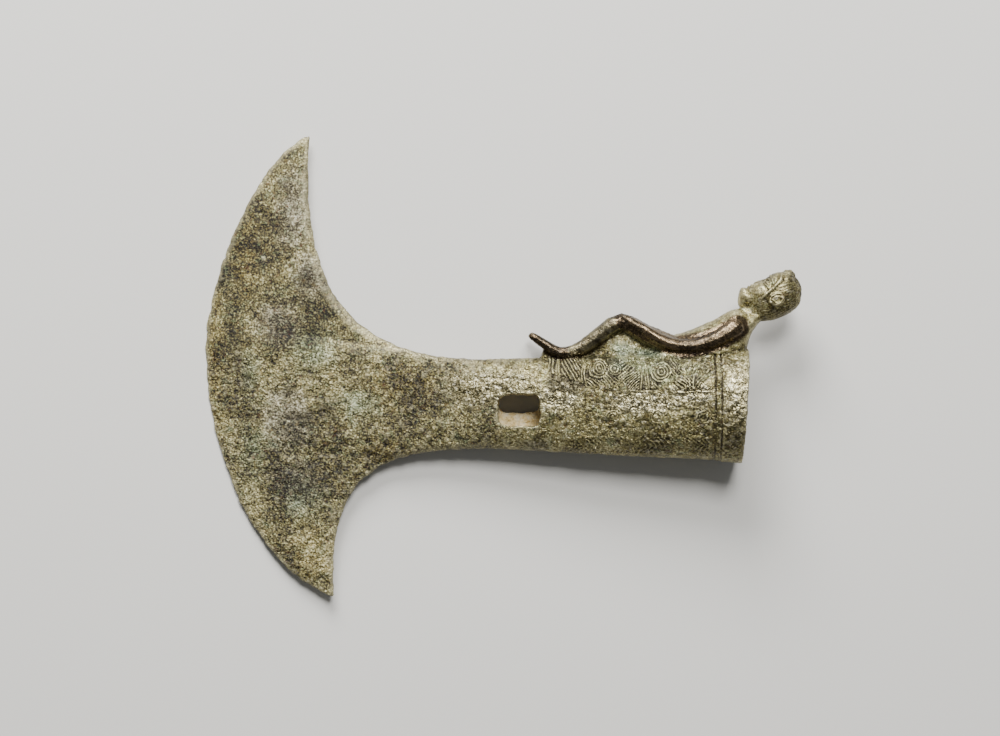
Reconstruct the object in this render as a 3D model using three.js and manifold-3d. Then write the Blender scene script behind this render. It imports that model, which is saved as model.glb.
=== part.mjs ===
// Cast bronze axe head: a crescent blade, a neck with a peg window, an oval socket for the haft,
// and a small figure lying on the socket's back. The real one is a single casting, so it is one mesh.
//
// Units are millimetres. The casting is drawn with X from the cutting edge to the socket's mouth,
// Y up towards the figure, Z through the blade, and the neck's axis on y = 0, z = 0. At the end it is
// laid down on its side, as a loose axe head lies on a table, with +Z up.

import * as THREE from 'three';
import { mergeVertices } from 'three/addons/utils/BufferGeometryUtils.js';
import Module from 'manifold-3d';

const wasm = await Module();
wasm.setup();

// Blade
const bladeLength = 74; // cutting edge to the narrowest part of the neck
const edgeFrontHeight = 14.5; // the cutting edge's foremost point, above the neck's axis
const upperHornRise = 67;
const upperHornSweep = 25.4; // how far the tip lies behind the cutting edge's front
const lowerHornDrop = 48;
const lowerHornSweep = 31.6;
const hornTipWidth = 0.8;
const cuttingEdgeThickness = 0.8;
const hornTipThickness = 1.2;
const hornBackThickness = 2.2;
const neckHeight = 22.4;
const neckThickness = 11.4;

// Socket
const socketLength = 60.7; // neck to mouth
const mouthHeight = 27.5;
const mouthThickness = 22;
const mouthDrop = 0.55; // the mouth's centre, below the neck's axis
const mouthLean = THREE.MathUtils.degToRad(3.4); // the mouth's face leans out at the top
const socketWall = 2.4;
const socketFloorSetback = 6; // how far the hollow runs past the neck, towards the blade
const collarWidth = 6.6;
const collarRise = 0.35;
const beadWidth = 0.9; // the bead beside the collar, between two grooves
const grooveWidth = 0.6;
const grooveDepth = 0.35;

// Peg window: one opening in each wall, the far one cast a little higher
const windowWidth = 10.5;
const windowHeight = 8;
const windowCorner = 2;
const windowSetback = 4.3; // neck to the middle of the window
const windowDrop = 1.6; // the near opening's middle, below the neck's axis
const farWindowRise = 3.4; // the far opening's middle, above the near one's

// Figure
const figureLength = 68; // sole to crown, along the socket
const headLength = 14.4; // chin to crown
const headDepth = 10.8; // face to nape
const headWidth = 9.4;
const headTilt = THREE.MathUtils.degToRad(24); // the crown, above the socket's back

// Resting pose
const flatSpotDepth = 0.25; // worn off the collar where the casting lies on it

// Derived places
const mouthX = bladeLength + socketLength;
const windowX = bladeLength + windowSetback;
const rootX = 0.65 * bladeLength; // where the blade ends and the neck begins

const SIDE_POINTS = 20; // steps from the socket's belly to its back, on each face
const NECK_STEPS = 6;
const SOCKET_STEPS = 7;

const lerp = THREE.MathUtils.lerp;
const clamp = THREE.MathUtils.clamp;
const share = (value, from, to) => clamp((value - from) / (to - from), 0, 1);

// The casting's outline, seen from the side, is four cubic curves.
const cubic = (...points) =>
  new THREE.CubicBezierCurve(...points.map(([x, y]) => new THREE.Vector2(x, y)));

function cuttingEdgeHalf(tipX, tipY) {
  const rise = tipY - edgeFrontHeight;
  const isUpper = rise > 0;
  const frontPull = isUpper ? 0.29 : 0.37;
  const tipPull = isUpper ? [0.48, 0.88] : [0.32, 0.86];
  return cubic(
    [0, edgeFrontHeight],
    [0, edgeFrontHeight + frontPull * rise],
    [tipPull[0] * tipX, edgeFrontHeight + tipPull[1] * rise],
    [tipX, tipY],
  );
}

function hornBack(tipX, tipY) {
  const neckY = Math.sign(tipY) * neckHeight / 2;
  const reach = bladeLength - tipX;
  const isUpper = tipY > 0;
  const tipPull = isUpper ? [-0.04, 0.42] : [-0.04, 0.15];
  const neckPull = isUpper ? [0.9, 0.81] : [0.76, 0.93];
  return cubic(
    [tipX, tipY],
    [tipX + tipPull[0] * reach, neckY + tipPull[1] * (tipY - neckY)],
    [bladeLength - neckPull[0] * reach, neckY * neckPull[1]],
    [bladeLength, neckY],
  );
}

const upperEdge = cuttingEdgeHalf(upperHornSweep - hornTipWidth / 2, upperHornRise);
const lowerEdge = cuttingEdgeHalf(lowerHornSweep - hornTipWidth / 2, -lowerHornDrop);
const upperBack = hornBack(upperHornSweep + hornTipWidth / 2, upperHornRise);
const lowerBack = hornBack(lowerHornSweep + hornTipWidth / 2, -lowerHornDrop);

// The parameter where a horn's back, on its way to the neck, passes x.
function parameterAt(curve, x) {
  let low = 0.3;
  let high = 1;
  for (let i = 0; i < 40; i++) {
    const middle = (low + high) / 2;
    if (curve.getPoint(middle).x < x) low = middle;
    else high = middle;
  }
  return (low + high) / 2;
}

const backHeight = (curve, x) => curve.getPoint(parameterAt(curve, x)).y;

// A closed skin over a row of rings with the same number of points, with a fan at each end.
function skin(rings) {
  const count = rings[0].length;
  const points = rings.flat();
  const triangles = [];
  for (let r = 0; r + 1 < rings.length; r++) {
    for (let i = 0; i < count; i++) {
      const a = r * count + i;
      const b = r * count + (i + 1) % count;
      triangles.push(a, b, b + count, a, b + count, a + count);
    }
  }
  for (const end of [0, rings.length - 1]) {
    const middle = new THREE.Vector3();
    rings[end].forEach((point) => middle.addScaledVector(point, 1 / count));
    points.push(middle);
    for (let i = 0; i < count; i++) {
      const a = end * count + i;
      const b = end * count + (i + 1) % count;
      triangles.push(...(end === 0 ? [b, a] : [a, b]), points.length - 1);
    }
  }
  const geometry = new THREE.BufferGeometry().setFromPoints(points);
  geometry.setIndex(triangles);
  return geometry;
}

// Turns a closed geometry into a solid, with its faces pointing out.
function solid(geometry) {
  const bare = geometry.clone();
  bare.deleteAttribute('normal');
  bare.deleteAttribute('uv');
  const merged = mergeVertices(bare, 1e-4);
  const vertProperties = new Float32Array(merged.attributes.position.array);
  const triVerts = new Uint32Array(merged.index.array);
  const corner = (i) => new THREE.Vector3().fromArray(vertProperties, 3 * triVerts[i]);
  let volume = 0;
  for (let i = 0; i < triVerts.length; i += 3) {
    volume += corner(i).dot(corner(i + 1).cross(corner(i + 2)));
  }
  if (volume < 0) triVerts.reverse();
  return new wasm.Manifold(new wasm.Mesh({ numProp: 3, vertProperties, triVerts }));
}

const join = (solids) => solids.reduce((whole, next) => whole.add(next));

function geometryOf(body) {
  const { vertProperties, triVerts } = body.getMesh();
  const geometry = new THREE.BufferGeometry();
  geometry.setAttribute('position', new THREE.BufferAttribute(vertProperties, 3));
  geometry.setIndex(new THREE.BufferAttribute(triVerts, 1));
  return geometry;
}

// Neck and socket: oval sections along X, flatter and squarer at the blade, rounder at the mouth.
// Squareness is the power of the oval: 2 is an ellipse, and more is squarer.
const ROOT_SQUARENESS = 3;
const MOUTH_SQUARENESS = 2.2;
const THICKENING = 2.2; // the power with which the metal thickens from the cutting edge to the neck
const LAST_TURN = 0.46 * Math.PI; // short of a half circle, so that both faces meet in a narrow flat

function socketBack(x) {
  return x < bladeLength
    ? backHeight(upperBack, x)
    : lerp(neckHeight / 2, mouthHeight / 2 - mouthDrop, share(x, bladeLength, mouthX));
}

function socketBelly(x) {
  return x < bladeLength
    ? backHeight(lowerBack, x)
    : -lerp(neckHeight / 2, mouthHeight / 2 + mouthDrop, share(x, bladeLength, mouthX));
}

function halfThickness(x) {
  return x < bladeLength
    ? lerp(cuttingEdgeThickness, neckThickness, (x / bladeLength) ** THICKENING) / 2
    : lerp(neckThickness, mouthThickness, share(x, bladeLength, mouthX)) / 2;
}

// The near face of the section at x, from belly to back. The far face is its mirror image.
function nearFace(x, grow) {
  const top = socketBack(x) + grow;
  const bottom = socketBelly(x) - grow;
  const squareness = lerp(ROOT_SQUARENESS, MOUTH_SQUARENESS, share(x, rootX, mouthX));
  const lean = Math.tan(mouthLean) * share(x, mouthX - collarWidth, mouthX);
  const bend = (value) => Math.sign(value) * Math.abs(value) ** (2 / squareness);
  return Array.from({ length: SIDE_POINTS + 1 }, (_, i) => {
    const turn = lerp(-LAST_TURN, LAST_TURN, i / SIDE_POINTS);
    const rise = (top - bottom) / 2 * bend(Math.sin(turn) / Math.sin(LAST_TURN));
    const z = (halfThickness(x) + grow) * bend(Math.cos(turn));
    return new THREE.Vector3(x + lean * rise, (top + bottom) / 2 + rise, z);
  });
}

const farPoint = (point) => new THREE.Vector3(point.x, point.y, -point.z);
const farSide = (points) => points.map(farPoint).reverse();

function ovalRing(x, grow) {
  const near = nearFace(x, grow);
  return [...near, ...farSide(near)];
}

// Its rings are [x, how far the skin stands out]. The first one is buried in the blade.
function socketOutside() {
  const buried = [rootX - 2 * hornBackThickness, -hornBackThickness / 2];
  const along = (from, to, steps) =>
    Array.from({ length: steps }, (_, i) => [lerp(from, to, (i + 1) / steps), 0]);
  const collarX = mouthX - collarWidth;
  const beadX = collarX - grooveWidth - beadWidth;
  const neck = [[rootX, 0], ...along(rootX, bladeLength, NECK_STEPS)];
  const body = along(bladeLength, beadX - grooveWidth, SOCKET_STEPS);
  const mouldings = [
    [beadX - grooveWidth / 2, -grooveDepth],
    [beadX, 0],
    [beadX + beadWidth, 0],
    [beadX + beadWidth + grooveWidth / 2, -grooveDepth],
    [collarX, collarRise],
    [mouthX, collarRise],
  ];
  return skin([buried, ...neck, ...body, ...mouldings].map(([x, grow]) => ovalRing(x, grow)));
}

// The hollow narrows to a blunt floor on the blade's side of the window.
const HOLLOW_STEPS = 9;
const FLOOR_SHARE = 0.7; // the hollow's size at its floor, in shares of its full size there

function socketHollow() {
  const floorX = bladeLength - socketFloorSetback;
  const beyond = 2 * collarWidth;
  const rings = Array.from({ length: HOLLOW_STEPS + 1 }, (_, i) => {
    const x = lerp(floorX, mouthX, i / HOLLOW_STEPS);
    const size = lerp(FLOOR_SHARE, 1, share(x, floorX, windowX - windowWidth / 2));
    return ovalRing(x, -socketWall).map((point) => point.setY(point.y * size).setZ(point.z * size));
  });
  const outer = rings[rings.length - 1].map((point) => point.clone().setX(point.x + beyond));
  return skin([...rings, outer]);
}

// The blade is a sheet. Its columns run from the cutting edge (across = 0) to the horn's back or, in
// the middle, to the neck's first section (across = 1).
const ACROSS = [0, 0.06, 0.15, 0.3, 0.48, 0.68, 0.88, 1];
const HORN_COLUMNS = 24;
// The stretch of cutting edge that faces the neck, in shares of its lower and its upper half.
const ROOT_STRETCH = [-0.36, 0.12];
const HORN_RISE = 0.6; // the power with which a horn thickens from its edge: soon
const NECK_RISE = 2; // and the middle of the blade: late
const MOST_NECK_RISE = 0.75; // how much of the late thickening the middle takes
const BACK_EDGE_SHARE = 0.26; // a horn's back is rounded off to this share of its thickness

const edgePoint = (along) => (along < 0 ? lowerEdge.getPointAt(-along) : upperEdge.getPointAt(along));

function bladeColumn(front, back, thicknessBehind, flatness) {
  const near = ACROSS.map((across) => {
    const rise = lerp(across ** HORN_RISE, across ** NECK_RISE, flatness);
    const z = across < 1 ? lerp(cuttingEdgeThickness, thicknessBehind, rise) / 2 : back.z;
    return new THREE.Vector3(lerp(front.x, back.x, across), lerp(front.y, back.y, across), z);
  });
  return [...near, ...farSide(near)];
}

function hornColumns(edgeEnd, rootEnd, curve) {
  const last = parameterAt(curve, rootX);
  return Array.from({ length: HORN_COLUMNS }, (_, i) => {
    const t = i / HORN_COLUMNS;
    const behind = lerp(hornTipThickness, hornBackThickness, Math.min(1, 4 * t));
    const back = curve.getPoint(t * last);
    const front = edgePoint(lerp(edgeEnd, rootEnd, t));
    return bladeColumn(front, new THREE.Vector3(back.x, back.y, BACK_EDGE_SHARE * behind), behind, 0);
  });
}

function bladeSheet() {
  const root = nearFace(rootX, 0).map((back, i) => {
    const t = i / SIDE_POINTS;
    const behind = Math.max(hornBackThickness, 2 * back.z);
    const flatness = MOST_NECK_RISE * THREE.MathUtils.smoothstep(Math.min(t, 1 - t), 0, 0.35);
    return bladeColumn(edgePoint(lerp(...ROOT_STRETCH, t)), back, behind, flatness);
  });
  const lower = hornColumns(-1, ROOT_STRETCH[0], lowerBack);
  const upper = hornColumns(1, ROOT_STRETCH[1], upperBack).reverse();
  return skin([...lower, ...root, ...upper]);
}

function windowCutter(side) {
  const across = windowWidth / 2;
  const up = windowHeight / 2;
  const shape = new THREE.Shape();
  shape.absarc(across - windowCorner, up - windowCorner, windowCorner, 0, Math.PI / 2);
  shape.absarc(windowCorner - across, up - windowCorner, windowCorner, Math.PI / 2, Math.PI);
  shape.absarc(windowCorner - across, windowCorner - up, windowCorner, Math.PI, 1.5 * Math.PI);
  shape.absarc(across - windowCorner, windowCorner - up, windowCorner, 1.5 * Math.PI, 2 * Math.PI);
  const options = { depth: neckThickness, bevelEnabled: false, curveSegments: 4 };
  const y = side < 0 ? farWindowRise - windowDrop : -windowDrop;
  const z = side < 0 ? -neckThickness : 0;
  return new THREE.ExtrudeGeometry(shape, options).translate(windowX, y, z);
}

// The figure. Its places are hundredths of its length: along, from the mouth towards the crown; lift,
// above the socket's back; aside, from the middle plane; and girth, the radius there.
const unit = figureLength / 100;

function place([along, lift, aside]) {
  const x = mouthX + along * unit;
  return new THREE.Vector3(x, socketBack(Math.min(x, mouthX)) + lift * unit, aside * unit);
}

// A round-ended rod through the points, with a radius at each, broader by a factor along its side.
// Each end is closed by two rings: how far out they lie and how wide they are, in shares of its radius.
const END_RINGS = [[0.5, 0.85], [0.85, 0.5]];

function rod(points, radii, { sides = 8, steps = 2, broad = 1, side = new THREE.Vector3(0, 0, 1) } = {}) {
  const path = new THREE.CatmullRomCurve3(points);
  const spans = points.length - 1;
  const ring = (t, slip, shrink) => {
    const span = Math.min(Math.floor(t * spans), spans - 1);
    const radius = lerp(radii[span], radii[span + 1], t * spans - span);
    const forward = path.getTangent(t);
    const sideways = side.clone().addScaledVector(forward, -side.dot(forward)).normalize();
    const upward = new THREE.Vector3().crossVectors(forward, sideways);
    const centre = path.getPoint(t).addScaledVector(forward, slip * radius);
    return Array.from({ length: sides }, (_, i) => {
      const turn = 2 * Math.PI * i / sides;
      return centre.clone()
        .addScaledVector(sideways, broad * shrink * radius * Math.cos(turn))
        .addScaledVector(upward, shrink * radius * Math.sin(turn));
    });
  };
  const count = spans * steps;
  const rings = Array.from({ length: count + 1 }, (_, i) => ring(i / count, 0, 1));
  const first = END_RINGS.map(([out, width]) => ring(0, -out, width)).reverse();
  const last = END_RINGS.map(([out, width]) => ring(1, out, width));
  return skin([...first, ...rings, ...last]);
}

const limb = (joints, options) =>
  rod(joints.map(place), joints.map(([, , , girth]) => girth * unit), options);
const mirrored = (joints) => joints.map(([along, lift, aside, girth]) => [along, lift, -aside, girth]);

const LEG = [
  [-78.1, 8.1, 3.4, 1.5],
  [-73.8, 5.2, 3.4, 1.8],
  [-68.2, 1.7, 3.4, 2.2],
  [-62.7, 2.1, 3.5, 2.5],
  [-57.2, 4.9, 3.6, 2.9],
  [-51.7, 9, 3.8, 3],
  [-45.4, 12.3, 4, 3.3],
  [-37, 7.8, 4, 3.5],
  [-27, 2.9, 3.8, 3.9],
];

const ARM = [
  [-44.3, 13.2, 5.6, 1.8],
  [-38.8, 10.1, 6.2, 2],
  [-31.5, 5.4, 6.8, 2.3],
  [-24.1, 2.7, 7, 2.5],
  [-16.8, 2.9, 7, 2.7],
  [-9.4, 5.2, 6.8, 3.2],
  [-3.9, 8.8, 6, 3.6],
];

const TORSO = [
  [-27, 2.8, 0, 3.8],
  [-20.4, 4, 0, 4.3],
  [-8.9, 8, 0, 4.7],
  [-2.8, 10.9, 0, 5],
];

const NECK = [
  [-2, 10.8, 0, 4.2],
  [2.9, 14.3, 0, 4.3],
  [8.2, 17.8, 0, 4.2],
];

// The metal under the shoulders rises out of the socket's back in a hollow sweep, up to the nape.
// Slices of [lift, along at the rear, along at the mouth, aside].
const SHOULDER_ROOT = [
  [-5, -36, 0, 8.4],
  [-1.2, -36, 0.2, 8.3],
  [0.4, -32, 0.5, 8.2],
  [2, -26, 1, 8],
  [4.1, -17.5, 1.6, 7.8],
  [7.1, -10, 2.7, 7.4],
  [10, -5.7, 4.7, 6.6],
  [13, -3, 7.2, 4.8],
];

const SHOULDER_SIDES = 16;
const SHOULDER_ROUNDNESS = 0.75;
const WEB_SHARE = 0.8; // the knee web's thickness, in shares of the gap between the legs' middles

function shoulderRoot() {
  const round = (value) => Math.sign(value) * Math.abs(value) ** SHOULDER_ROUNDNESS;
  const turns = Array.from({ length: SHOULDER_SIDES }, (_, i) => 2 * Math.PI * i / SHOULDER_SIDES);
  return skin(SHOULDER_ROOT.map(([lift, rear, mouth, aside]) => turns.map((turn) => {
    const x = mouthX + unit * lerp(rear, mouth, (1 + round(Math.cos(turn))) / 2);
    return new THREE.Vector3(x, socketBack(mouthX) + unit * lift, unit * aside * round(Math.sin(turn)));
  })));
}

// The thin metal left under the bent knees, cast solid down to the socket.
function kneeWeb() {
  const depth = WEB_SHARE * 2 * LEG[0][2] * unit;
  const upper = LEG.slice(1).map(place).map((point) => new THREE.Vector2(point.x, point.y));
  const footing = [upper[upper.length - 1].x, upper[0].x - LEG[0][3] * unit];
  const floor = footing.map((x) => new THREE.Vector2(x, socketBack(x) - socketWall / 2));
  const shape = new THREE.Shape([...upper, ...floor]);
  return new THREE.ExtrudeGeometry(shape, { depth, bevelEnabled: false }).translate(0, 0, -depth / 2);
}

// The head lies back over the mouth, with its crown outward and its face up.
const HEAD_CENTRE = [9.9, 19.6, 0];

function headFrame() {
  const crown = new THREE.Vector3(Math.cos(headTilt), Math.sin(headTilt), 0);
  const face = new THREE.Vector3(-Math.sin(headTilt), Math.cos(headTilt), 0);
  return new THREE.Matrix4()
    .makeBasis(face, crown, new THREE.Vector3(0, 0, -1))
    .setPosition(place(HEAD_CENTRE));
}

// Shares of the head's half sizes: x towards the face, y to the crown, z aside.
const headPoint = ([x, y, z]) => new THREE.Vector3(x * headDepth / 2, y * headLength / 2, z * headWidth / 2);

// A feature of the head: stops of [x, y, z, radius], the radius in shares of the head's length.
const feature = (stops, options) =>
  rod(stops.map(headPoint), stops.map(([, , , radius]) => radius * headLength), options);

// The skull is a rounded box, with a narrower jaw, a flatter face, and a hollow for each eye.
const SKULL_ROUNDNESS = 2.8;
const JAW_NARROWING = 0.34;
const NAPE_HOLLOW = 0.15;
const FACE_FLATNESS = 0.07;
const EYE = { up: 0.02, aside: 0.42, reach: 0.2, depth: 0.1 };

function skull() {
  const ball = new THREE.SphereGeometry(1, 24, 16);
  const position = ball.attributes.position;
  const point = new THREE.Vector3();
  for (let i = 0; i < position.count; i++) {
    point.fromBufferAttribute(position, i);
    const norm = point.toArray().reduce((sum, v) => sum + Math.abs(v) ** SKULL_ROUNDNESS, 0);
    point.multiplyScalar(norm ** (-1 / SKULL_ROUNDNESS));
    const jaw = Math.max(0, -point.y);
    const fromEye = Math.hypot(point.y - EYE.up, Math.abs(point.z) - EYE.aside) / EYE.reach;
    const front = 1 - FACE_FLATNESS - EYE.depth * Math.exp(-fromEye * fromEye);
    const depth = point.x > 0 ? front : 1 - NAPE_HOLLOW * jaw;
    point.set(point.x * depth, point.y, point.z * (1 - JAW_NARROWING * jaw ** 1.5));
    point.copy(headPoint(point.toArray()));
    position.setXYZ(i, point.x, point.y, point.z);
  }
  return ball;
}

const acrossFace = { side: new THREE.Vector3(1, 0, 0) };

const nose = () => feature([
  [0.8, 0.14, 0, 0.03],
  [0.85, -0.08, 0, 0.045],
  [0.84, -0.3, 0, 0.062],
], { broad: 1.1 });

const lips = () => feature([
  [0.62, -0.5, -0.34, 0.06],
  [0.74, -0.52, 0, 0.08],
  [0.62, -0.5, 0.34, 0.06],
], acrossFace);

const jaw = (side) => feature([
  [0, -0.42, 0.5 * side, 0.08],
  [0.36, -0.7, 0.36 * side, 0.11],
  [0.62, -0.84, 0.16 * side, 0.1],
]);

const chin = () => feature([
  [0.34, -0.96, 0, 0.11],
  [0.74, -0.8, 0, 0.1],
], { broad: 1.5 });

const browRoll = () => feature([
  [0.45, 0.68, -0.6, 0.09],
  [0.6, 0.84, 0, 0.13],
  [0.45, 0.68, 0.6, 0.09],
], acrossFace);

// The hair is one smooth cap, a little wider than the skull.
const HAIR_SIZE = [0.95, 0.73, 1.06];
const HAIR_CENTRE = [0.06, 0.37, 0];

function hairCap() {
  const cap = new THREE.SphereGeometry(1, 20, 12);
  const size = headPoint(HAIR_SIZE);
  const centre = headPoint(HAIR_CENTRE);
  return cap.scale(size.x, size.y, size.z).translate(centre.x, centre.y, centre.z);
}

const EAR_PLACE = [-0.18, 0.09, 0.99];
const EAR_RADIUS = 0.11; // shares of the head's length
const EAR_RIM = 0.045;

function ear(side) {
  const ring = new THREE.TorusGeometry(EAR_RADIUS * headLength, EAR_RIM * headLength, 6, 12);
  const spot = headPoint(EAR_PLACE);
  return ring.scale(0.75, 1, 1.1).translate(spot.x, spot.y, side * spot.z);
}

function figure() {
  const body = [
    limb(LEG),
    limb(mirrored(LEG)),
    limb(ARM),
    limb(mirrored(ARM)),
    limb(TORSO, { sides: 14, steps: 4, broad: 1.6 }),
    limb(NECK, { sides: 12, steps: 2, broad: 0.95 }),
    shoulderRoot(),
    kneeWeb(),
  ];
  const face = [skull(), nose(), lips(), jaw(1), jaw(-1), chin()];
  const head = [...face, browRoll(), hairCap(), ear(1), ear(-1)];
  const frame = headFrame();
  return join([...body, ...head.map((piece) => piece.applyMatrix4(frame))].map(solid));
}

// The whole casting, in the frame that it is drawn in.
function casting() {
  const outside = join([solid(bladeSheet()), solid(socketOutside()), figure()]);
  return [socketHollow(), windowCutter(1), windowCutter(-1)].map(solid)
    .reduce((body, cutter) => body.subtract(cutter), outside);
}

function vertices(geometry) {
  const position = geometry.attributes.position;
  const point = (_, i) => new THREE.Vector3().fromBufferAttribute(position, i);
  return Array.from({ length: position.count }, point);
}

function centreOfMass(geometry) {
  const points = vertices(geometry);
  const index = geometry.index.array;
  const centre = new THREE.Vector3();
  let total = 0;
  for (let i = 0; i < index.length; i += 3) {
    const [a, b, c] = [points[index[i]], points[index[i + 1]], points[index[i + 2]]];
    const volume = a.dot(new THREE.Vector3().crossVectors(b, c));
    centre.addScaledVector(a.clone().add(b).add(c), volume / 4);
    total += volume;
  }
  return centre.divideScalar(total);
}

const FIRST_LEAN = 0.05; // steps of the search for the resting pose, in radians
const LAST_LEAN = 1e-5;
const LEAN_WAYS = 16;

// The direction that points up when the loose casting has come to rest on its side: the one near +Z
// that brings its centre of mass lowest over the table.
function restingUp(geometry) {
  const points = vertices(geometry);
  const centre = centreOfMass(geometry);
  const up = (lean) => new THREE.Vector3(lean.x, lean.y, 1).normalize();
  const height = (lean) => {
    const direction = up(lean);
    return direction.dot(centre) - Math.min(...points.map((point) => direction.dot(point)));
  };
  let best = new THREE.Vector2();
  for (let step = FIRST_LEAN; step > LAST_LEAN; step /= 2) {
    let moved = true;
    while (moved) {
      const tries = Array.from({ length: LEAN_WAYS }, (_, i) => {
        const turn = 2 * Math.PI * i / LEAN_WAYS;
        return best.clone().add(new THREE.Vector2(step * Math.cos(turn), step * Math.sin(turn)));
      });
      const lowest = tries.reduce((a, b) => (height(b) < height(a) ? b : a));
      moved = height(lowest) < height(best) - 1e-9;
      if (moved) best = lowest;
    }
  }
  return up(best);
}

// Lays the casting on the table: turned to its resting pose, with a small flat spot on the collar.
function laidDown(body) {
  const settled = restingUp(geometryOf(body));
  const up = settled.addScaledVector(new THREE.Vector3(1, 0, 0), -flatSpotDepth / mouthX).normalize();
  const turn = new THREE.Quaternion().setFromUnitVectors(up, new THREE.Vector3(0, 0, 1));
  const turned = geometryOf(body).applyQuaternion(turn);
  const bladeFoot = vertices(turned).filter((point) => point.x < bladeLength / 2);
  const tableZ = Math.min(...bladeFoot.map((point) => point.z));
  const table = new THREE.BoxGeometry(4 * mouthX, 4 * mouthX, mouthThickness);
  table.translate(0, 0, tableZ - mouthThickness / 2);
  const lying = geometryOf(solid(turned).subtract(solid(table)));
  lying.computeBoundingBox();
  const middle = lying.boundingBox.getCenter(new THREE.Vector3());
  return lying.translate(-middle.x, -middle.y, -lying.boundingBox.min.z);
}

const geometry = laidDown(casting());
geometry.computeVertexNormals();

const bronze = new THREE.MeshStandardMaterial({ color: 0x857f68, roughness: 0.6, metalness: 0.55 });
const axeHead = new THREE.Mesh(geometry, bronze);
axeHead.name = 'axe_head';

const group = new THREE.Group();
group.add(axeHead);

export default group;
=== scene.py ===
# An ancient cast bronze axe head, lying on a table: a crescent blade, a neck with a peg window, an
# oval socket for the haft with worn ornament, and a small figure lying on the socket's back.

import math

import bmesh
import bpy
import numpy as np
from mathutils import Matrix, Vector


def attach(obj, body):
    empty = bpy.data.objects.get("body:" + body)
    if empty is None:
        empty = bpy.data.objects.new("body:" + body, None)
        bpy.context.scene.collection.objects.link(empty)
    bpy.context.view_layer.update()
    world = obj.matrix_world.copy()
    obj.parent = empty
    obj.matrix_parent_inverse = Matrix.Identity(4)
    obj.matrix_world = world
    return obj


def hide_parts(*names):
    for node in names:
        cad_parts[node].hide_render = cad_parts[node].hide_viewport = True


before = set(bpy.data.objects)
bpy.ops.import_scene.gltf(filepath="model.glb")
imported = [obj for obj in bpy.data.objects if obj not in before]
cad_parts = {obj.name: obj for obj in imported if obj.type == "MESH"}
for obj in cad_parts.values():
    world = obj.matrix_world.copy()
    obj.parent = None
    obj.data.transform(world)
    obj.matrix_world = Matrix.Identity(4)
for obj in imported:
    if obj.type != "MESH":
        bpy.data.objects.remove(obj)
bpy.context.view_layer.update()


# The camera: the axe head is seen square on to its blade, as a museum photographs it, with a long lens.
# Its frame is 250 mm wide where the blade is. Measures are millimetres in the frame that the casting
# is drawn in: X from the cutting edge to the socket's mouth, Y towards the figure, Z through the blade.
UP_AS_DRAWN = Vector((0.078983, -0.001765, 0.996874))  # points up once the casting has been laid down
SHIFT_AS_LAID = Vector((-74.2257, -9.5020, 0.4243))
turn_down = UP_AS_DRAWN.rotation_difference(Vector((0, 0, 1))).to_matrix().to_4x4()
laid_down = Matrix.Scale(0.001, 4) @ Matrix.Translation(SHIFT_AS_LAID) @ turn_down

PICTURE_CENTRE = Vector((73.5, 9.0, 0))
PICTURE_WIDTH = 250
LENS = 135
camera_data = bpy.data.cameras.new("camera")
camera_data.lens = LENS
camera = bpy.data.objects.new("camera", camera_data)
bpy.context.scene.collection.objects.link(camera)
camera_distance = PICTURE_WIDTH * LENS / camera_data.sensor_width
camera.matrix_world = (
    Matrix.Translation(laid_down @ (PICTURE_CENTRE + Vector((0, 0, camera_distance)))) @ turn_down
)
bpy.context.scene.camera = camera


# The casting: one pour of tin bronze. Its skin is remade as an even mesh, as fine as the grain of the
# casting asks, and the sharp steps of its forms are softened as wear and corrosion have softened them.
SKIN_GRAIN = 0.3
MOST_TRIANGLES = 195_000


def baked(source, name):
    """A new mesh of the object with its modifiers applied."""
    bpy.context.view_layer.update()
    worked = source.evaluated_get(bpy.context.evaluated_depsgraph_get())
    mesh = bpy.data.meshes.new_from_object(worked)
    mesh.name = name
    return mesh


cast = bmesh.new()
cast.from_mesh(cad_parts["axe_head"].data)
bmesh.ops.remove_doubles(cast, verts=cast.verts, dist=1e-7)
cast_mesh = bpy.data.meshes.new("cast_bronze_axe_head")
cast.to_mesh(cast_mesh)
cast.free()
casting = bpy.data.objects.new("cast_bronze_axe_head", cast_mesh)
bpy.context.scene.collection.objects.link(casting)
skin = casting.modifiers.new("skin", "REMESH")
skin.mode = "VOXEL"
skin.voxel_size = SKIN_GRAIN / 1000
casting.data = baked(casting, "cast_bronze_axe_head")
casting.modifiers.clear()

from_laid = np.array(laid_down.inverted())


def as_drawn(mesh):
    """The mesh's points in millimetres, in the drawing's frame."""
    points = np.empty(3 * len(mesh.vertices))
    mesh.vertices.foreach_get("co", points)
    return points.reshape(-1, 3) @ from_laid[:3, :3].T + from_laid[:3, 3]


def move_to(mesh, drawn):
    """Puts the mesh's points at these drawn places."""
    laid = np.array(laid_down)
    mesh.vertices.foreach_set("co", (drawn @ laid[:3, :3].T + laid[:3, 3]).ravel())
    mesh.update()


def normals_as_drawn(mesh):
    """The way each point of the mesh faces, in the drawing's frame."""
    normals = np.empty(3 * len(mesh.vertices))
    mesh.vertex_normals.foreach_get("vector", normals)
    return normals.reshape(-1, 3) @ np.array(turn_down.to_3x3())


def over_socket(points):
    """How high each point lies towards the figure, over the slope of the socket's back."""
    return points[:, 1] - 0.02 * points[:, 0]


def ramp(values, low, high):
    """0 below low, 1 above high, and a smooth step between."""
    t = np.clip((values - low) / (high - low), 0, 1)
    return t * t * (3 - 2 * t)


def distance_to_path(points, stops):
    """The distance from each point to a path through stops."""
    nearest = np.full(len(points), 1e9)
    for start, end in zip(stops, stops[1:]):
        start, along = np.array(start), np.array(end) - np.array(start)
        t = np.clip((points - start) @ along / (along @ along), 0, 1)
        nearest = np.minimum(nearest, np.linalg.norm(points - start - t[:, None] * along, axis=1))
    return nearest


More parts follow.
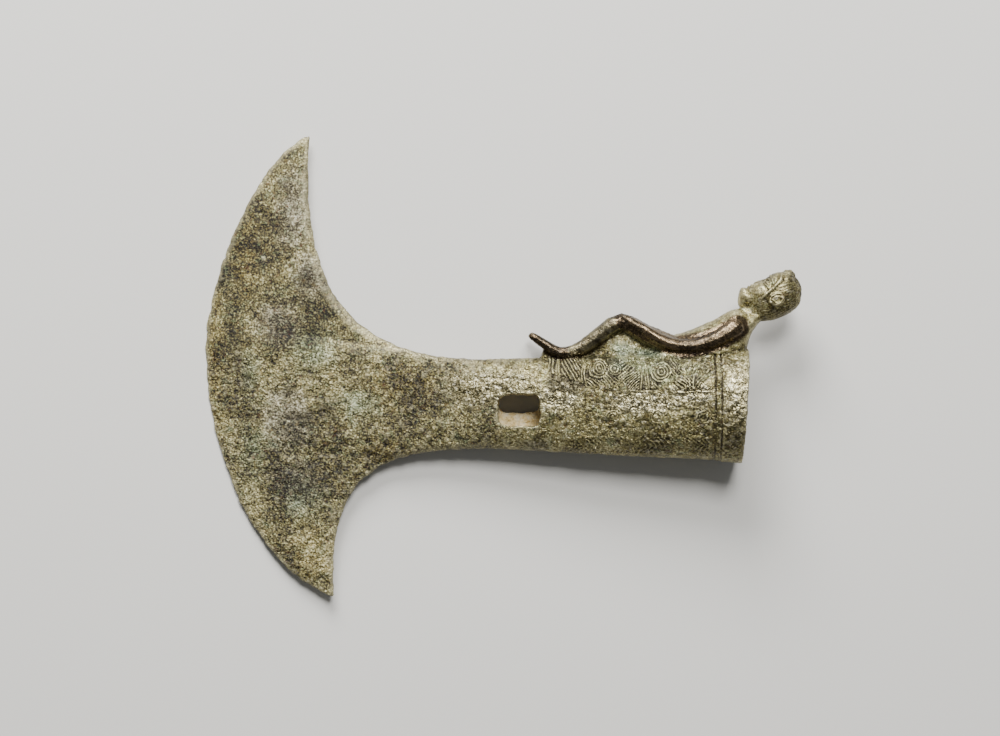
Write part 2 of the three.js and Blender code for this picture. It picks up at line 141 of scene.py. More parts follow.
def softened(mesh, weights, rounds, pulls=0):
    """Evens the mesh out: each round pulls every point in and lets it out, then come plain pulls."""
    points = as_drawn(mesh)
    ends = np.empty(2 * len(mesh.edges), dtype=np.int64)
    mesh.edges.foreach_get("vertices", ends)
    ends = ends.reshape(-1, 2)
    count = len(points)
    degree = np.bincount(ends.ravel(), minlength=count)[:, None]
    for pull in [0.5, -0.52] * rounds + [0.5] * pulls:
        total = np.column_stack(
            [
                np.bincount(ends[:, 0], points[ends[:, 1], axis], count)
                + np.bincount(ends[:, 1], points[ends[:, 0], axis], count)
                for axis in range(3)
            ]
        )
        points = points + pull * weights[:, None] * (total / degree - points)
    return points


points = as_drawn(casting.data)
on_figure = ramp(over_socket(points), 10.6, 11.6) * ramp(points[:, 0], 78, 80)
soft = np.where(on_figure > 0.5, 1.0, 0.6)
move_to(casting.data, softened(casting.data, soft, 6))


# The ornament on the socket: fine raised lines left by the mould, in a band under the figure and a
# fainter one along the belly, with two grooves beside the plain collar. Use has worn it away.
BAND_START, BAND_END = 85.4, 125.8
LINE_WIDTH = 0.26
LINE_HEIGHT = 0.32
RULES = [85.6, 86.7, 87.5, 88.3, 94.0, 94.8, 108.6, 109.5, 110.3, 111.1, 120.6, 121.5]
CIRCLES = [(98.05, 8.9, 2.6), (101.9, 8.7, 1.5), (113.5, 8.1, 2.8), (118.6, 8.8, 1.5)]
HATCHES = [(88.9, 93.5, 0.5), (102.9, 108.1, -0.9), (115.6, 120.2, 0.8), (122.2, 125.8, -0.7)]
HATCH_SPACING, CHEVRON_SPACING, RING_SPACING = 0.95, 1.3, 0.72
GROOVES = [126.9, 128.4]
GROOVE_DEPTH = 0.34
GROOVE_WIDTH = 0.42
SOCKET_HALVES = (13.4, 9.2)  # from its axis up to the figure's side, and out to its face


def hash_wave(points, size, seed):
    """Soft bumps of about the given size, from waves that cross at odd angles: -1 to 1."""
    spread = np.random.default_rng(seed)
    total = np.zeros(len(points))
    for _ in range(7):
        way = spread.normal(size=3)
        way *= 2 * math.pi / size / np.linalg.norm(way) * spread.uniform(0.7, 1.4)
        total += np.sin(points @ way + spread.uniform(0, 2 * math.pi))
    return total / 3.2


def ridge(distance, width):
    """A rounded ridge along a line, by distance from it."""
    return np.clip(1 - (distance / width) ** 2, 0, 1)


def rings(x, y, centre_x, centre_y, outer):
    """Concentric rings around a centre, out to a radius."""
    radius = np.hypot(x - centre_x, y - centre_y)
    from_ring = np.abs((radius + 0.2) % RING_SPACING - RING_SPACING / 2)
    return ridge(from_ring, LINE_WIDTH) * (radius < outer)


def ornament(x, y):
    """Height of the upper band's pattern, 0 to 1, at places along and above the socket's axis."""
    height = np.zeros(len(x))
    for number, rule in enumerate(RULES):
        slant = 0.05 * (y - 7) * (-1) ** number
        height = np.maximum(height, ridge(np.abs(x - rule - slant), LINE_WIDTH))
    for start, end, lean in HATCHES:
        spread = x + lean * (y - 7) * (1 + 0.12 * (x - start))
        stripes = np.abs(spread % HATCH_SPACING - HATCH_SPACING / 2)
        height = np.maximum(height, ridge(stripes, LINE_WIDTH) * (x > start) * (x < end))
    below = np.abs((x + 0.9 * y) % HATCH_SPACING - HATCH_SPACING / 2)
    for centre_x, centre_y, outer in CIRCLES:
        radius = np.hypot(x - centre_x, y - centre_y)
        height = np.where(radius < outer + 0.3, rings(x, y, centre_x, centre_y, outer), height)
        fan = ridge(below, LINE_WIDTH) * (np.abs(x - centre_x) < 2.8) * (radius > outer + 0.5)
        height = np.maximum(height, fan * (y < centre_y))
    inside = ramp(y, 3.3, 3.9)
    return np.maximum(height * inside, 0.6 * ridge(np.abs(y - 3.1), LINE_WIDTH))


def lower_ornament(x, y):
    """Height of the belly's band, 0 to 1."""
    bent = x + np.abs((y + 10.3) * 1.2)
    chevrons = np.abs(bent % CHEVRON_SPACING - CHEVRON_SPACING / 2)
    band = ridge(chevrons, LINE_WIDTH) * (y > -12.2) * (y < -8.4)
    rules = np.maximum(ridge(np.abs(y + 8.2), LINE_WIDTH), ridge(np.abs(y + 12.3), LINE_WIDTH))
    return np.maximum(band, 0.6 * rules) * ramp(x, 88, 92)


def worn_middle(x, y):
    """Height of what is left between the bands: a few small circles and hatches, 0 to 1."""
    height = np.zeros(len(x))
    for column in range(7):
        centre_x, centre_y = 90.2 + 5.6 * column, 1.4 * (column % 2) - 3.2
        height = np.maximum(height, rings(x, y, centre_x, centre_y, 2.2))
    return height * (y < 2.4) * (y > -7.6)


def left_by_wear(points):
    """How much of the ornament use has left, 0 to 1."""
    least = 0.12 + 0.55 * (1 - ramp(points[:, 0], 89, 97))
    return least + (1 - least) * ramp(hash_wave(points, 7, 3), -0.6, 0.6)


def relief(points):
    """How far the ornament stands out at each point of the socket, in millimetres."""
    x, y, z = points.T
    x, y = x + 0.22 * hash_wave(points, 4, 21), y + 0.22 * hash_wave(points, 4, 22)
    outside = (x > BAND_START - 1) & (x < BAND_END + 1) & (y < 12.2) & (np.abs(z) > 2.5)
    wall = np.hypot(y / SOCKET_HALVES[0], z / SOCKET_HALVES[1]) > 0.86
    limits = ramp(x, BAND_START - 0.4, BAND_START) * (1 - ramp(x, BAND_END, BAND_END + 0.4))
    pattern = ornament(x, y) + 0.75 * lower_ornament(x, y) + 0.8 * worn_middle(x, y)
    return LINE_HEIGHT * np.clip(pattern, 0, 1) * limits * left_by_wear(points) * (outside & wall)


def collar_grooves(points):
    """How deep the two grooves beside the collar are cut, in millimetres."""
    x, y, z = points.T
    around = (np.hypot(y / 13.6, z / 10.9) > 0.86) & (y < 12.6)
    faded = 0.5 + 0.5 * ramp(hash_wave(points, 8, 23), -0.6, 0.5)
    cuts = sum(ridge(np.abs(x - groove), GROOVE_WIDTH) for groove in GROOVES)
    return GROOVE_DEPTH * faded * around * cuts


HEAD_CENTRE = Vector((141.43, 26.53, 0))
fine = bmesh.new()
fine.from_mesh(casting.data)
to_drawn = laid_down.inverted()
banded = []  # the faces that carry the finest relief
for face in fine.faces:
    x, y, z = to_drawn @ face.calc_center_median()
    in_rows = 2.6 < y < 12.2 or -12.8 < y < -7.8 or (-5.6 < y < 0.8 and x < 127)
    outer_wall = (y / SOCKET_HALVES[0]) ** 2 + (z / SOCKET_HALVES[1]) ** 2 > 0.74
    on_socket = BAND_START - 1 < x < GROOVES[1] + 0.8 and outer_wall
    on_head = (Vector((x, y, z)) - HEAD_CENTRE).length < 9.5
    on_hand = 101 < x < 106.5 and y > 19
    on_foot = 78 < x < 86 and y > 13
    on_lines = on_socket and (in_rows or x > GROOVES[0] - 0.8)
    if on_head or on_hand or on_foot or on_lines:
        banded.append(face)
edges = list({edge for face in banded for edge in face.edges})
bmesh.ops.subdivide_edges(fine, edges=edges, cuts=1, use_grid_fill=True)
fine.to_mesh(casting.data)
fine.free()


# Age and the finest forms: the edges wander and have small nicks, the blade is dinted, and corrosion has
# left the skin uneven. The hair is combed in fine grooves from the crown down to the nape, behind a raised
# hairline. Ears, eyes, lips, fingers and toes are low forms of the same casting.
HEAD_TILT = math.radians(24)
face_way = Vector((-math.sin(HEAD_TILT), math.cos(HEAD_TILT), 0))
crown_way = Vector((math.cos(HEAD_TILT), math.sin(HEAD_TILT), 0))
STRAND_SPACING = 0.62
STRAND_DEPTH = 0.12
FINGER_SPACING = 0.82
FINGER_DEPTH = 0.16
HAIRLINE = [(4.5, 5.0), (3.1, 3.5), (2.3, 1.6), (1.7, -0.6), (0.9, -2.6)]  # forward and up, on each side
EAR_CENTRE = (-0.97, 0.65)
EYE_ASIDE, EYE_UP = 2.9, 0.4
MOUTH_UP = -3.75


def head_places(points):
    """Places on the head: how far forward, up towards the crown, and aside, in millimetres."""
    local = points - np.array(HEAD_CENTRE)
    return local @ np.array(face_way), local @ np.array(crown_way), local[:, 2]


def on_head_skin(points):
    """1 on the head, 0 elsewhere."""
    forward, up, aside = head_places(points)
    return ramp(-np.hypot(np.hypot(forward, up), aside), -9.4, -9.0) * ramp(up, -5.4, -4.6)


def hair_cover(points):
    """1 where the head is covered by hair, 0 elsewhere."""
    forward, up, _ = head_places(points)
    line_up = [stop[1] for stop in reversed(HAIRLINE)]
    line_forward = [stop[0] for stop in reversed(HAIRLINE)]
    behind = np.interp(up, line_up, line_forward) - 0.4 - forward
    beside_ear = np.hypot(forward - EAR_CENTRE[0], up - EAR_CENTRE[1]) - 2.1
    return on_head_skin(points) * ramp(behind, 0, 0.3) * ramp(beside_ear, 0, 0.2)


def strands(points):
    """Depth of the grooves between strands, 0 to 1."""
    forward, up, aside = head_places(points)
    across = 4.9 * np.arctan2(aside, -forward - 0.3) + 0.25 * hash_wave(points, 3, 9)
    return 0.5 + 0.5 * np.cos(across * 2 * math.pi / STRAND_SPACING)


def head_relief(points):
    """How far the hairline and the ears stand out, in millimetres."""
    forward, up, aside = head_places(points)
    beside = ramp(np.abs(aside), 1.4, 2.4) * on_head_skin(points)
    line = distance_to_path(np.column_stack([forward, up]), HAIRLINE)
    ahead, above = forward - EAR_CENTRE[0], up - EAR_CENTRE[1]
    from_ear = np.hypot(ahead / 0.75, above)
    open_front = ramp(ahead / (from_ear + 0.01), 0.0, 0.5)
    rim = ridge(np.abs(from_ear - 1.45), 0.55) * (0.2 - 0.6 * open_front)
    bowl = 0.34 * ridge(from_ear, 1.1)
    lobe = 0.2 * ridge(np.hypot(ahead - 0.2, above + 1.6), 0.65)
    return beside * (0.42 * ridge(line, 0.45) + rim + bowl + lobe)


def face_relief(points):
    """How far the eyes, brows and lips stand out on the face, in millimetres."""
    forward, up, aside = head_places(points)
    on_face = on_head_skin(points) * ramp(forward, 1.6, 2.4)
    from_eye = np.hypot((np.abs(aside) - EYE_ASIDE) / 1.5, (up - EYE_UP) / 0.75)
    lids = 0.36 * ridge(np.abs(from_eye - 1), 0.34)
    ball = 0.34 * ridge(from_eye, 0.66)
    socket = -0.3 * ramp(-from_eye, -1.9, -1.2)
    brow = 0.34 * ridge(np.abs(up - 2.1 + 0.12 * np.abs(aside)), 0.45) * ramp(np.abs(aside), 0.4, 0.9)
    brow *= ramp(forward, 3, 3.8)
    across = 1 - (aside / 1.7) ** 2
    lips = 0.3 * ridge(np.abs(np.abs(up - MOUTH_UP) - 0.42), 0.42) * np.clip(across, 0, 1)
    parting = -0.2 * ridge(np.abs(up - MOUTH_UP), 0.2) * (across > 0)
    return on_face * (lids + ball + socket + brow + lips + parting)


def finger_grooves(points):
    """How deep the gaps between fingers and between toes are, in millimetres."""
    x, y, z = points.T
    hand = ramp(x, 102, 102.6) * (1 - ramp(x, 105.6, 106.4)) * ramp(y, 19.6, 20.2)
    foot = ramp(x, 80, 80.5) * (1 - ramp(x, 82.4, 83.2)) * ramp(y, 15.4, 16)
    return FINGER_DEPTH * (hand + foot) * (0.5 + 0.5 * np.cos(2 * math.pi * z / FINGER_SPACING))


WINDOW_CENTRE = (78.3, -0.8)
points = as_drawn(casting.data)
normals = normals_as_drawn(casting.data)
on_blade = 1 - ramp(points[:, 0], 40, 60)
near_window = np.hypot(points[:, 0] - WINDOW_CENTRE[0], points[:, 1] - WINDOW_CENTRE[1])
at_window = 1 - ramp(near_window, 6.5, 9)
swell = 0.07 * hash_wave(points, 5, 1) + 0.045 * hash_wave(points, 2.1, 2) + 0.03 * hash_wave(points, 1.1, 4)
at_neck = ramp(points[:, 0], 25, 45) * (1 - ramp(points[:, 0], 74, 84))
swell += (0.035 + 0.055 * at_neck) * hash_wave(points, 3.1, 15)
calm = 1 - 0.75 * ramp(over_socket(points), 10.8, 12)
grit = 0.05 * hash_wave(points, 0.8, 11) + 0.04 * hash_wave(points, 1.4, 12)
on_socket = ramp(points[:, 0], 84, 92)
grit += on_socket * (0.06 * hash_wave(points, 1.9, 13) + 0.04 * hash_wave(points, 1.2, 14))
grit *= 0.3 + 0.7 * calm
lift = swell * calm + grit + relief(points) - collar_grooves(points)
lift += head_relief(points) + face_relief(points) - STRAND_DEPTH * strands(points) * hair_cover(points)
lift -= finger_grooves(points)
wander = np.zeros((len(points), 3))
for axis in (0, 1):
    wander[:, axis] = hash_wave(points, 7, 5 + axis) + 0.6 * hash_wave(points, 2.6, 7 + axis)
on_rim = on_blade * (1 - ramp(np.abs(points[:, 2]), 0.7, 1.3))
nicks = 0.3 * ramp(hash_wave(points, 2.3, 31), 0.62, 0.95) * on_rim
inward = np.array([30, 8, 0]) - points * np.array([1, 1, 0])
inward /= np.linalg.norm(inward, axis=1)[:, None]
reach = 0.05 + 0.04 * on_blade + 0.06 * on_rim + 0.2 * at_window
points = points + normals * lift[:, None] + wander * reach[:, None] + inward * nicks[:, None]
laid_z = points @ np.array(turn_down.to_3x3())[2] + SHIFT_AS_LAID.z
under = np.clip(0.01 - laid_z, 0, None)  # what the age has pushed into the table comes up again
points += np.outer(under, np.array(UP_AS_DRAWN))
move_to(casting.data, points)

triangles = sum(len(polygon.vertices) - 2 for polygon in casting.data.polygons)
if triangles > MOST_TRIANGLES:
    thinned = casting.modifiers.new("thinned", "DECIMATE")
    thinned.ratio = MOST_TRIANGLES / triangles
    casting.data = baked(casting, "cast_bronze_axe_head")
    casting.modifiers.clear()
for polygon in casting.data.polygons:
    polygon.use_smooth = True


# What each place of the skin has been through, kept on its points for the patina to read: how far the
# ornament stands out, how much hands have polished it, where earth clings, and how the crust differs;
# and where light and shade are painted into the colour: painted shade in the ornament's recesses, the
# skin's hollows and its grooves, and painted highlight on its rises and on edges facing the lights.
def keep(mesh, name, values):
    """Keeps a value for each point of the mesh."""
    layer = mesh.attributes.new(name, "FLOAT", "POINT")
    layer.data.foreach_set("value", np.clip(values, 0, 1).astype(np.float32))


def patches(points, spots):
    """1 in the middle of each spot of [x, y, half length, half height], fading out around it."""
    cover = np.zeros(len(points))
    for x, y, across, up in spots:
        away = ((points[:, 0] - x) / across) ** 2 + ((points[:, 1] - y) / up) ** 2
        cover = np.maximum(cover, np.exp(-away))
    return cover


points = as_drawn(casting.data)
ARM_PATH = [(105, 21.2, 3.8), (108.8, 19.2, 4.2), (113.8, 16.2, 4.6), (118.8, 14.5, 4.8)]
ARM_PATH += [(123.8, 15, 4.8), (128.8, 16.7, 4.6), (132.5, 19.2, 4.1)]
FOOT_PATH = [(82, 16.8, 2.3), (85, 15, 2.3), (88.8, 13, 2.3)]
folded = points * np.array([1, 1, 0]) + np.abs(points) * np.array([0, 0, 1])
SHIN_PATH = [(88.8, 13, 2.3), (92.6, 13.4, 2.5), (96.3, 15.3, 2.7), (104, 21.4, 3.4)]
polish = 1 - ramp(distance_to_path(folded, ARM_PATH), 2.5, 3.9)
polish = np.maximum(polish, 1 - ramp(distance_to_path(folded, FOOT_PATH), 2.0, 3.0))
polish = np.maximum(polish, 0.72 * (1 - ramp(distance_to_path(folded, SHIN_PATH), 1.8, 3.6)))
polish = np.maximum(polish, 0.42 * on_head_skin(points))
polish = np.maximum(polish, 0.36 * ramp(over_socket(points), 12.5, 15))
left = left_by_wear(points)
standing = relief(points) / LINE_HEIGHT / left
on_ornament = (points[:, 0] > BAND_START) & (points[:, 0] < BAND_END) & (points[:, 1] < 11.8)
on_ornament &= (points[:, 1] > 2.9) & (np.abs(points[:, 2]) > 2.5)
# Painted shade: the ornament's band is darkened between its raised lines.
recess_shade = np.where(on_ornament, ramp(left, 0.3, 0.9) * (1 - 2.2 * standing), 0)
keep(casting.data, "relief", standing * left)
keep(casting.data, "recess_shade", recess_shade)
keep(casting.data, "patterned", ramp(left, 0.2, 0.7) * on_ornament)
# Painted shade in the collar's two grooves, by their depth.
keep(casting.data, "line", collar_grooves(points) / GROOVE_DEPTH)
normals = normals_as_drawn(casting.data)
forward, up, _ = head_places(points)
at_ear = on_head_skin(points) * ramp(-np.hypot(forward - EAR_CENTRE[0], up - EAR_CENTRE[1]), -2.4, -1.8)
STEP_TO_SHOW = 0.16  # a rise or hollow of so many millimetres is fully a crest or a crease
evened = softened(casting.data, np.ones(len(points)), 0, 10)
above = np.einsum("ij,ij->i", points - evened, normals)
# Painted highlight on the skin's rises and painted shade in its hollows, by how far each point stands above
# or below its evened place.
keep(casting.data, "crest_highlight", above / STEP_TO_SHOW)
keep(casting.data, "crease_shade", -above / STEP_TO_SHOW * (1 - 0.75 * at_ear))
keep(casting.data, "polish", polish)
# Painted shade in the grooves between the hair strands, by their depth.
keep(casting.data, "groove", strands(points) * hair_cover(points))
SILVERY = [(22, 48, 6, 15), (26, 32, 6, 9), (18, 20, 8, 8), (20, -4, 9, 12), (23, -20, 8, 9)]
GOLDEN = [(10, 38, 5, 20), (2, 8, 4, 30), (27, -38, 8, 9), (50, 4, 14, 8), (44, -12, 9, 5), (16, 62, 6, 5)]
DARK = [(7.7, 12.3, 2.4, 7), (19.3, 54.8, 3, 1.7), (50.6, 1.4, 4, 3), (30.6, -1.1, 4, 4)]
DARK += [(24.8, -3.6, 4, 3), (23.9, -20.2, 4.2, 4), (20.6, 3.1, 3, 2.5), (9.8, 5.6, 3, 3)]
# The strip at (120, 11.6) lies along the socket just under the figure and is painted shade.
DARK += [(24.8, 30.6, 3.4, 5), (82, -10.6, 6, 2.4), (92, -12.4, 8, 1.6), (120, 11.6, 8, 1.2)]
DARK += [(98, 7.5, 5, 2.2), (124, 9.5, 2, 3), (131, -9, 3, 4)]
GREEN = [(104, 13.5, 4, 2.6), (110.5, 12.8, 5, 1.8), (103, 9.8, 2.6, 1.6)]
GREENISH = [(27, 14, 9, 8), (12, -12, 5, 10), (38, 0, 8, 5), (24, -24, 8, 7), (11, 8, 3, 8), (110, 9, 20, 6)]
# Rubbed metal and painted highlight: these patches lie along the upper middle of the neck and socket, where
# the lights' highlights fall, and make the colour paler there.
WORN_AND_HIGHLIT = [(132.2, 3, 3.6, 8.5), (121, 2.5, 6, 3.6), (109, 0.5, 11, 3.2), (88, 2, 6, 4), (71, 4, 13, 5)]
keep(casting.data, "silvery", patches(points, SILVERY))
keep(casting.data, "golden", patches(points, GOLDEN))
keep(casting.data, "dark", patches(points, DARK))
keep(casting.data, "green", patches(points, GREEN))
keep(casting.data, "greenish", patches(points, GREENISH))
keep(casting.data, "handled", ramp(points[:, 0], 60, 84))
keep(casting.data, "figure", ramp(over_socket(points), 11.6, 13))
# Painted highlight: on the blade and neck, skin that faces the lights' side gets the pale rubbed colour.
edge_facing_lights = ramp(normals[:, 1], 0.3, 0.7) * (1 - ramp(points[:, 0], 62, 74))
keep(casting.data, "worn", np.maximum(patches(points, WORN_AND_HIGHLIT), 0.8 * edge_facing_lights))
inner = (np.abs(points[:, 0] - 79) < 9) & (points[:, 2] < 1.5) & (np.abs(points[:, 1]) < 9.5)
inner &= np.hypot(points[:, 1] / 10.4, points[:, 2] / (2 + 0.052 * points[:, 0])) < 0.92
keep(casting.data, "earth", inner.astype(float))
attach(casting, "root")
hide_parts("axe_head")


# Patina: tin bronze that has lain in the ground. A matt crust of olive, grey-green and brown salts,
# pitted and speckled, lies over dark metal that shows where hands have rubbed it smooth. The eye sees
# dull grain on the blade, lumps that glint on the socket, and a silky brown on the figure's limbs.
# Some light and shade is painted into the colour as well: painted glints, painted highlight on rubbed
# places, raised lines, rises and edges facing the lights, and painted shade in recesses, hollows and
# grooves.
def linear(colour):
    """An sRGB hex colour as linear RGBA."""
    parts = [int(colour[i : i + 2], 16) / 255 for i in (1, 3, 5)]
    return (*[p / 12.92 if p <= 0.04045 else ((p + 0.055) / 1.055) ** 2.4 for p in parts], 1)


patina = bpy.data.materials.new("patinated_tin_bronze")
patina.use_nodes = True
tree = patina.node_tree
tree.nodes.clear()


def add_node(kind, inputs, settings=None, output=0):
    """Adds a node, sets or links its inputs by name or number, and gives one of its outputs."""
    node = tree.nodes.new("ShaderNode" + kind)
    for name, value in (settings or {}).items():
        setattr(node, name, value)
    for key, value in inputs.items():
        if isinstance(value, bpy.types.NodeSocket):
            tree.links.new(value, node.inputs[key])
        else:
            node.inputs[key].default_value = value
    return node.outputs[output] if len(node.outputs) else None


# The crust's grains: size in millimetres, detail, roughness and distortion. The finest are drawn at
# 0.45 mm, about two picture points, because the real ones are too fine to show.
GRAINS = {
    "specks": (0.45, 1, 0.5, 0),
    "grits": (0.95, 2, 0.6, 0),
    "grains": (2.4, 2, 0.6, 0),
    "blotches": (6, 3, 0.6, 0),
    "clouds": (17, 3, 0.6, 0),
    "ragged": (3, 6, 0.7, 0),
    "green spots": (3.4, 5, 0.7, 0.6),
    "green flecks": (0.9, 3, 0.7, 0),
    "ochre flecks": (1.3, 4, 0.75, 0),
    "rust flecks": (1.7, 5, 0.75, 0),
    "rubbing": (1.4, 6, 0.7, 0),
    "curls": (1.8, 2, 0.55, 0.9),
    "painted_glints": (1.0, 1, 0.5, 0),
    "handling": (2.2, 5, 0.7, 0),
    "clay": (1.3, 4, 0.6, 0),
    "sheen": (1.2, 4, 0.6, 0),
    "pits": (0.7, 3, 0.65, 0),
    "lumps": (2.1, 2, 0.5, 0),
}
place = add_node("TexCoord", {}, output="Object")
grain = {
    name: add_node(
        "TexNoise",
        {"Vector": place, "Scale": 1000 / size, "Detail": detail, "Roughness": rough, "Distortion": twist},
    )
    for name, (size, detail, rough, twist) in GRAINS.items()
}
KEPT = ["relief", "recess_shade", "patterned", "line", "crest_highlight", "crease_shade", "polish", "groove", "silvery", "golden"]
KEPT += ["dark", "green", "greenish", "handled", "figure", "worn", "earth"]
kept = {name: add_node("Attribute", {}, {"attribute_name": name}, "Fac") for name in KEPT}


def heaped(*terms):
    """Heaps up values about 0.5, each with its weight, around 0.5."""
    total = 0.5
    for value, weight in terms:
        step = add_node("Math", {0: value, 1: weight, 2: -weight / 2}, {"operation": "MULTIPLY_ADD"})
        total = add_node("Math", {0: step, 1: total}, {"operation": "ADD"})
    return total


def going_over(value, *changes):
    """A value that goes over to another one at each of these places in turn."""
    for where, there in changes:
        value = add_node("MapRange", {0: where, 3: value, 4: there})
    return value


def ragged_patch(name, reach=0.5):
    """A kept patch with a ragged border, 0 to 1."""
    ragged = heaped((kept[name], 1.0), (grain["ragged"], 1.3))
    return add_node("MapRange", {0: ragged, 1: 0.45, 2: 0.45 + reach})


# The crust's tone runs from dark pits to pale grains, calmer and paler where the head was handled.
tone = heaped(
    (grain["specks"], 1.65),
    (grain["grits"], 0.6),
    (grain["grains"], 0.55),
    (grain["blotches"], 0.85),
    (grain["clouds"], 1.15),
)
darkest = going_over(0.03, (kept["handled"], -0.28))
palest = going_over(1.03, (kept["handled"], 1.12))
tone = add_node("MapRange", {0: tone, 1: darkest, 2: palest})
TONES = {
    "olive": ((0.05, "#13100a"), (0.3, "#3c3623"), (0.5, "#625a38"), (0.7, "#8d8455"), (0.95, "#cfc79c")),
    "silver": ((0.05, "#161410"), (0.3, "#403b2e"), (0.5, "#67614e"), (0.7, "#8f8871"), (0.95, "#d0cab4")),
    "gold": ((0.05, "#130f07"), (0.3, "#40361c"), (0.5, "#6b5e32"), (0.7, "#988a53"), (0.95, "#d6ca96")),
    "moss": ((0.05, "#10120b"), (0.3, "#363d2a"), (0.5, "#576449"), (0.7, "#809073"), (0.95, "#c1cdb3")),
    "verdigris": ((0.2, "#2f3a2c"), (0.5, "#71846a"), (0.8, "#b4c2a6")),
    "rubbed_and_highlit": ((0.1, "#5f563a"), (0.5, "#a19873"), (0.9, "#e2dbbe")),
    "brown": ((0.1, "#120d09"), (0.5, "#2c221a"), (0.9, "#67543f")),
    "clay": ((0.3, "#cdae70"), (0.5, "#f6dfa8"), (0.7, "#fff5da")),
}
tones = {}
for name, stops in TONES.items():
    tones[name] = add_node("ValToRGB", {0: grain["clay"] if name == "clay" else tone})
    elements = tones[name].node.color_ramp.elements
    while len(elements) < len(stops):
        elements.new(0.5)
    for element, (position, tint) in zip(elements, stops):
        element.position, element.color = position, linear(tint)

# Where the crust is worn down to pale metal, with painted highlight on the same places, where it has
# curled wrinkles, where painted glints sit, and where it is gone.
worn = add_node("MapRange", {0: heaped((kept["worn"], 1.0), (grain["rubbing"], 1.3)), 1: 0.3, 2: 0.75})
from_middle = add_node("Math", {0: grain["curls"], 1: 0.5}, {"operation": "SUBTRACT"})
curls = add_node("Math", {0: from_middle}, {"operation": "ABSOLUTE"})
wrinkled = going_over(0.1, (kept["handled"], 0.55), (kept["patterned"], 0.1))
# How much the painted glints cover: most where the metal is rubbed.
painted_glint_cover = going_over(0, (kept["handled"], 0.2), (worn, 0.45))
bare = add_node("MapRange", {0: heaped((kept["polish"], 1.0), (grain["handling"], 1.0)), 1: 0.36, 2: 0.9})
earthy = add_node("MapRange", {0: kept["earth"], 1: 0.3, 2: 0.7})

# The layers over the olive ground, from the first to the last: what says where, from and to which of
# its values the layer fades in or out, how much it covers at either end, and its colour.
LAYERS = [
    (ragged_patch("silvery"), 0, 1, 0, 0.8, tones["silver"]),
    (ragged_patch("golden"), 0, 1, 0, 0.7, tones["gold"]),
    (ragged_patch("greenish", 0.7), 0, 1, 0, 0.6, tones["moss"]),
    (grain["green spots"], 0.55, 0.68, 0, 0.5, tones["moss"]),
    (grain["green flecks"], 0.57, 0.68, 0, 0.5, linear("#6f7f5c")),
    (grain["ochre flecks"], 0.57, 0.68, 0, 0.4, linear("#8c7538")),
    (grain["rust flecks"], 0.59, 0.69, 0, 0.5, linear("#65371e")),
    (ragged_patch("green"), 0, 1, 0, 0.75, tones["verdigris"]),
    # Dark spots of the crust, and painted shade in the strip under the figure.
    (ragged_patch("dark"), 0, 1, 0, 0.55, linear("#2a251a")),
    # Pale rubbed metal, which is also painted highlight on the socket's upper middle and on edges facing the
    # lights.
    (worn, 0, 1, 0, 0.7, tones["rubbed_and_highlit"]),
    (curls, 0.004, 0.03, wrinkled, 0, linear("#2a2317")),
    # Painted glints: sparse pale flecks that stand in for small highlights.
    (grain["painted_glints"], 0.6, 0.68, 0, painted_glint_cover, linear("#ece5cb")),
    # Painted shade between the ornament's raised lines.
    (kept["recess_shade"], 0.1, 0.75, 0, 0.8, linear("#211b11")),
    # Painted highlight on the tops of the ornament's raised lines.
    (kept["relief"], 0.3, 0.8, 0, 0.45, linear("#a0986c")),
    # Painted shade in the grooves between the hair strands.
    (kept["groove"], 0.4, 0.95, 0, 0.5, linear("#2f2a1e")),
    # Painted highlight on the skin's rises.
    (kept["crest_highlight"], 0.2, 1, 0, 0.35, linear("#c2ba94")),
    # Painted shade in the skin's hollows.
    (kept["crease_shade"], 0.2, 1, 0, 0.6, linear("#1f1a11")),
    # Painted shade in the collar's two grooves.
    (kept["line"], 0.1, 0.8, 0, 0.8, linear("#241d13")),
    (bare, 0, 1, 0, 0.92, tones["brown"]),
    (earthy, 0, 1, 0, 1, tones["clay"]),
]
colour = tones["olive"]
for value, start, end, cover_before, cover_after, layer in LAYERS:
    cover = add_node("MapRange", {0: value, 1: start, 2: end, 3: cover_before, 4: cover_after})
    colour = add_node("Mix", {0: cover, 6: colour, 7: layer}, {"data_type": "RGBA"}, 2)

# Salts are half dull, rubbed metal shines through them, and clay has no shine.
metallic = going_over(0.45, (kept["handled"], 0.7), (worn, 0.95), (bare, 0.85), (earthy, 0))
smoothest = going_over(0.42, (kept["handled"], 0.32))
roughest = going_over(0.6, (kept["handled"], 0.52))
roughness = add_node("MapRange", {0: grain["sheen"], 1: 0.3, 2: 0.7, 3: smoothest, 4: roughest})
roughness = going_over(roughness, (worn, 0.3), (bare, 0.27), (earthy, 0.95))

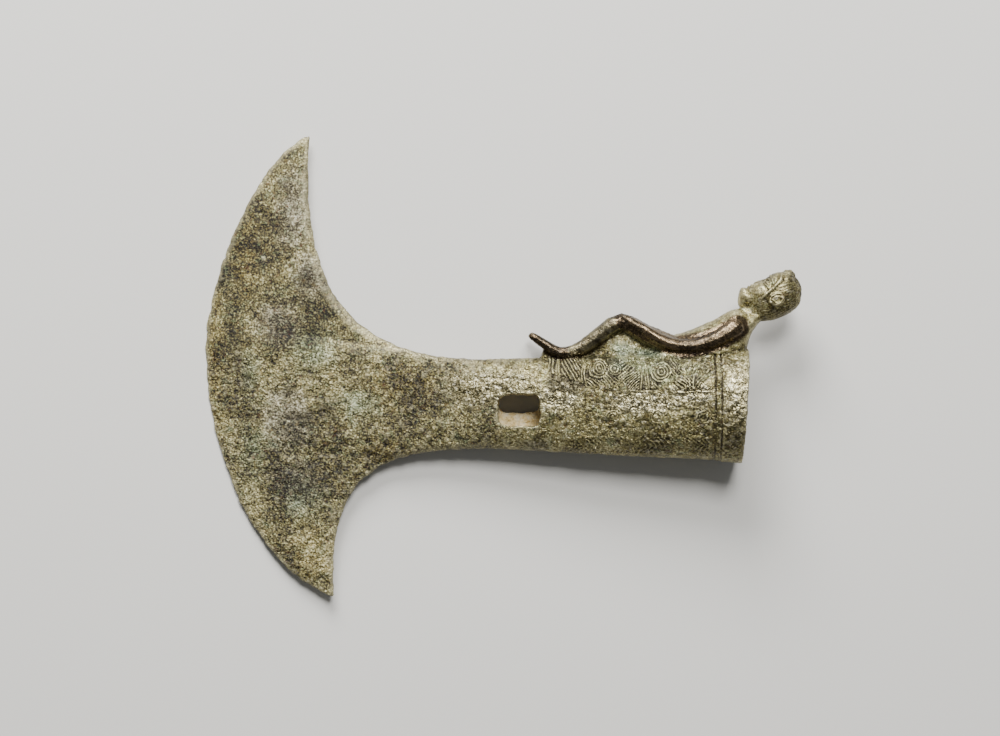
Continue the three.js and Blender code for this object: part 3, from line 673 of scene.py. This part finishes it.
# Pits, curled wrinkles and lumps, each deeper in the crust than on polished limbs.
crusty = going_over(1, (bare, 0.25), (kept["figure"], 0.16))
pitted = going_over(1, (kept["handled"], 0.45), (kept["patterned"], 0.25), (kept["figure"], 0.16))
lumpy = going_over(crusty, (kept["patterned"], 0.5))
wrinkles = add_node("MapRange", {0: curls, 1: 0, 2: 0.06})
PIT_DEPTH, WRINKLE_DEPTH, LUMP_DEPTH = 0.0004, 0.0001, 0.00065
facing = add_node("Bump", {"Strength": pitted, "Distance": PIT_DEPTH, "Height": grain["pits"]})
for strength, depth, height in ((crusty, WRINKLE_DEPTH, wrinkles), (lumpy, LUMP_DEPTH, grain["lumps"])):
    facing = add_node("Bump", {"Strength": strength, "Distance": depth, "Height": height, "Normal": facing})
surface = add_node(
    "BsdfPrincipled", {"Base Color": colour, "Metallic": metallic, "Roughness": roughness, "Normal": facing}
)
add_node("OutputMaterial", {"Surface": surface})
casting.data.materials.clear()
casting.data.materials.append(patina)


# The table and the studio: a pale matt board under the casting, one large soft light over the figure's
# side and one nearer to the camera, and a faint even light from all around.
table_bm = bmesh.new()
bmesh.ops.create_grid(table_bm, x_segments=1, y_segments=1, size=3)
table_mesh = bpy.data.meshes.new("table_top")
table_bm.to_mesh(table_mesh)
table_bm.free()
table_top = bpy.data.objects.new("table_top", table_mesh)
bpy.context.scene.collection.objects.link(table_top)
paper = bpy.data.materials.new("pale_matt_board")
paper.use_nodes = True
paper.node_tree.nodes["Principled BSDF"].inputs["Base Color"].default_value = linear("#d8d6d0")
paper.node_tree.nodes["Principled BSDF"].inputs["Roughness"].default_value = 0.9
table_mesh.materials.append(paper)


def add_softbox(name, size, power, spot, aim=(0, 0, 0.01)):
    """A square area light at spot, turned to aim."""
    data = bpy.data.lights.new(name, "AREA")
    data.size = size
    data.energy = power
    light = bpy.data.objects.new(name, data)
    light.location = spot
    light.rotation_euler = (Vector(aim) - Vector(spot)).to_track_quat("-Z", "Y").to_euler()
    bpy.context.scene.collection.objects.link(light)


add_softbox("above", 0.4, 14.3, (-0.2, 0.72, 0.45))
add_softbox("front", 0.3, 10.6, (0.1, 0.48, 0.88))
sky = bpy.data.worlds.new("studio")
sky.use_nodes = True
sky.node_tree.nodes["Background"].inputs["Color"].default_value = linear("#e6e8ea")
sky.node_tree.nodes["Background"].inputs["Strength"].default_value = 0.2
bpy.context.scene.world = sky
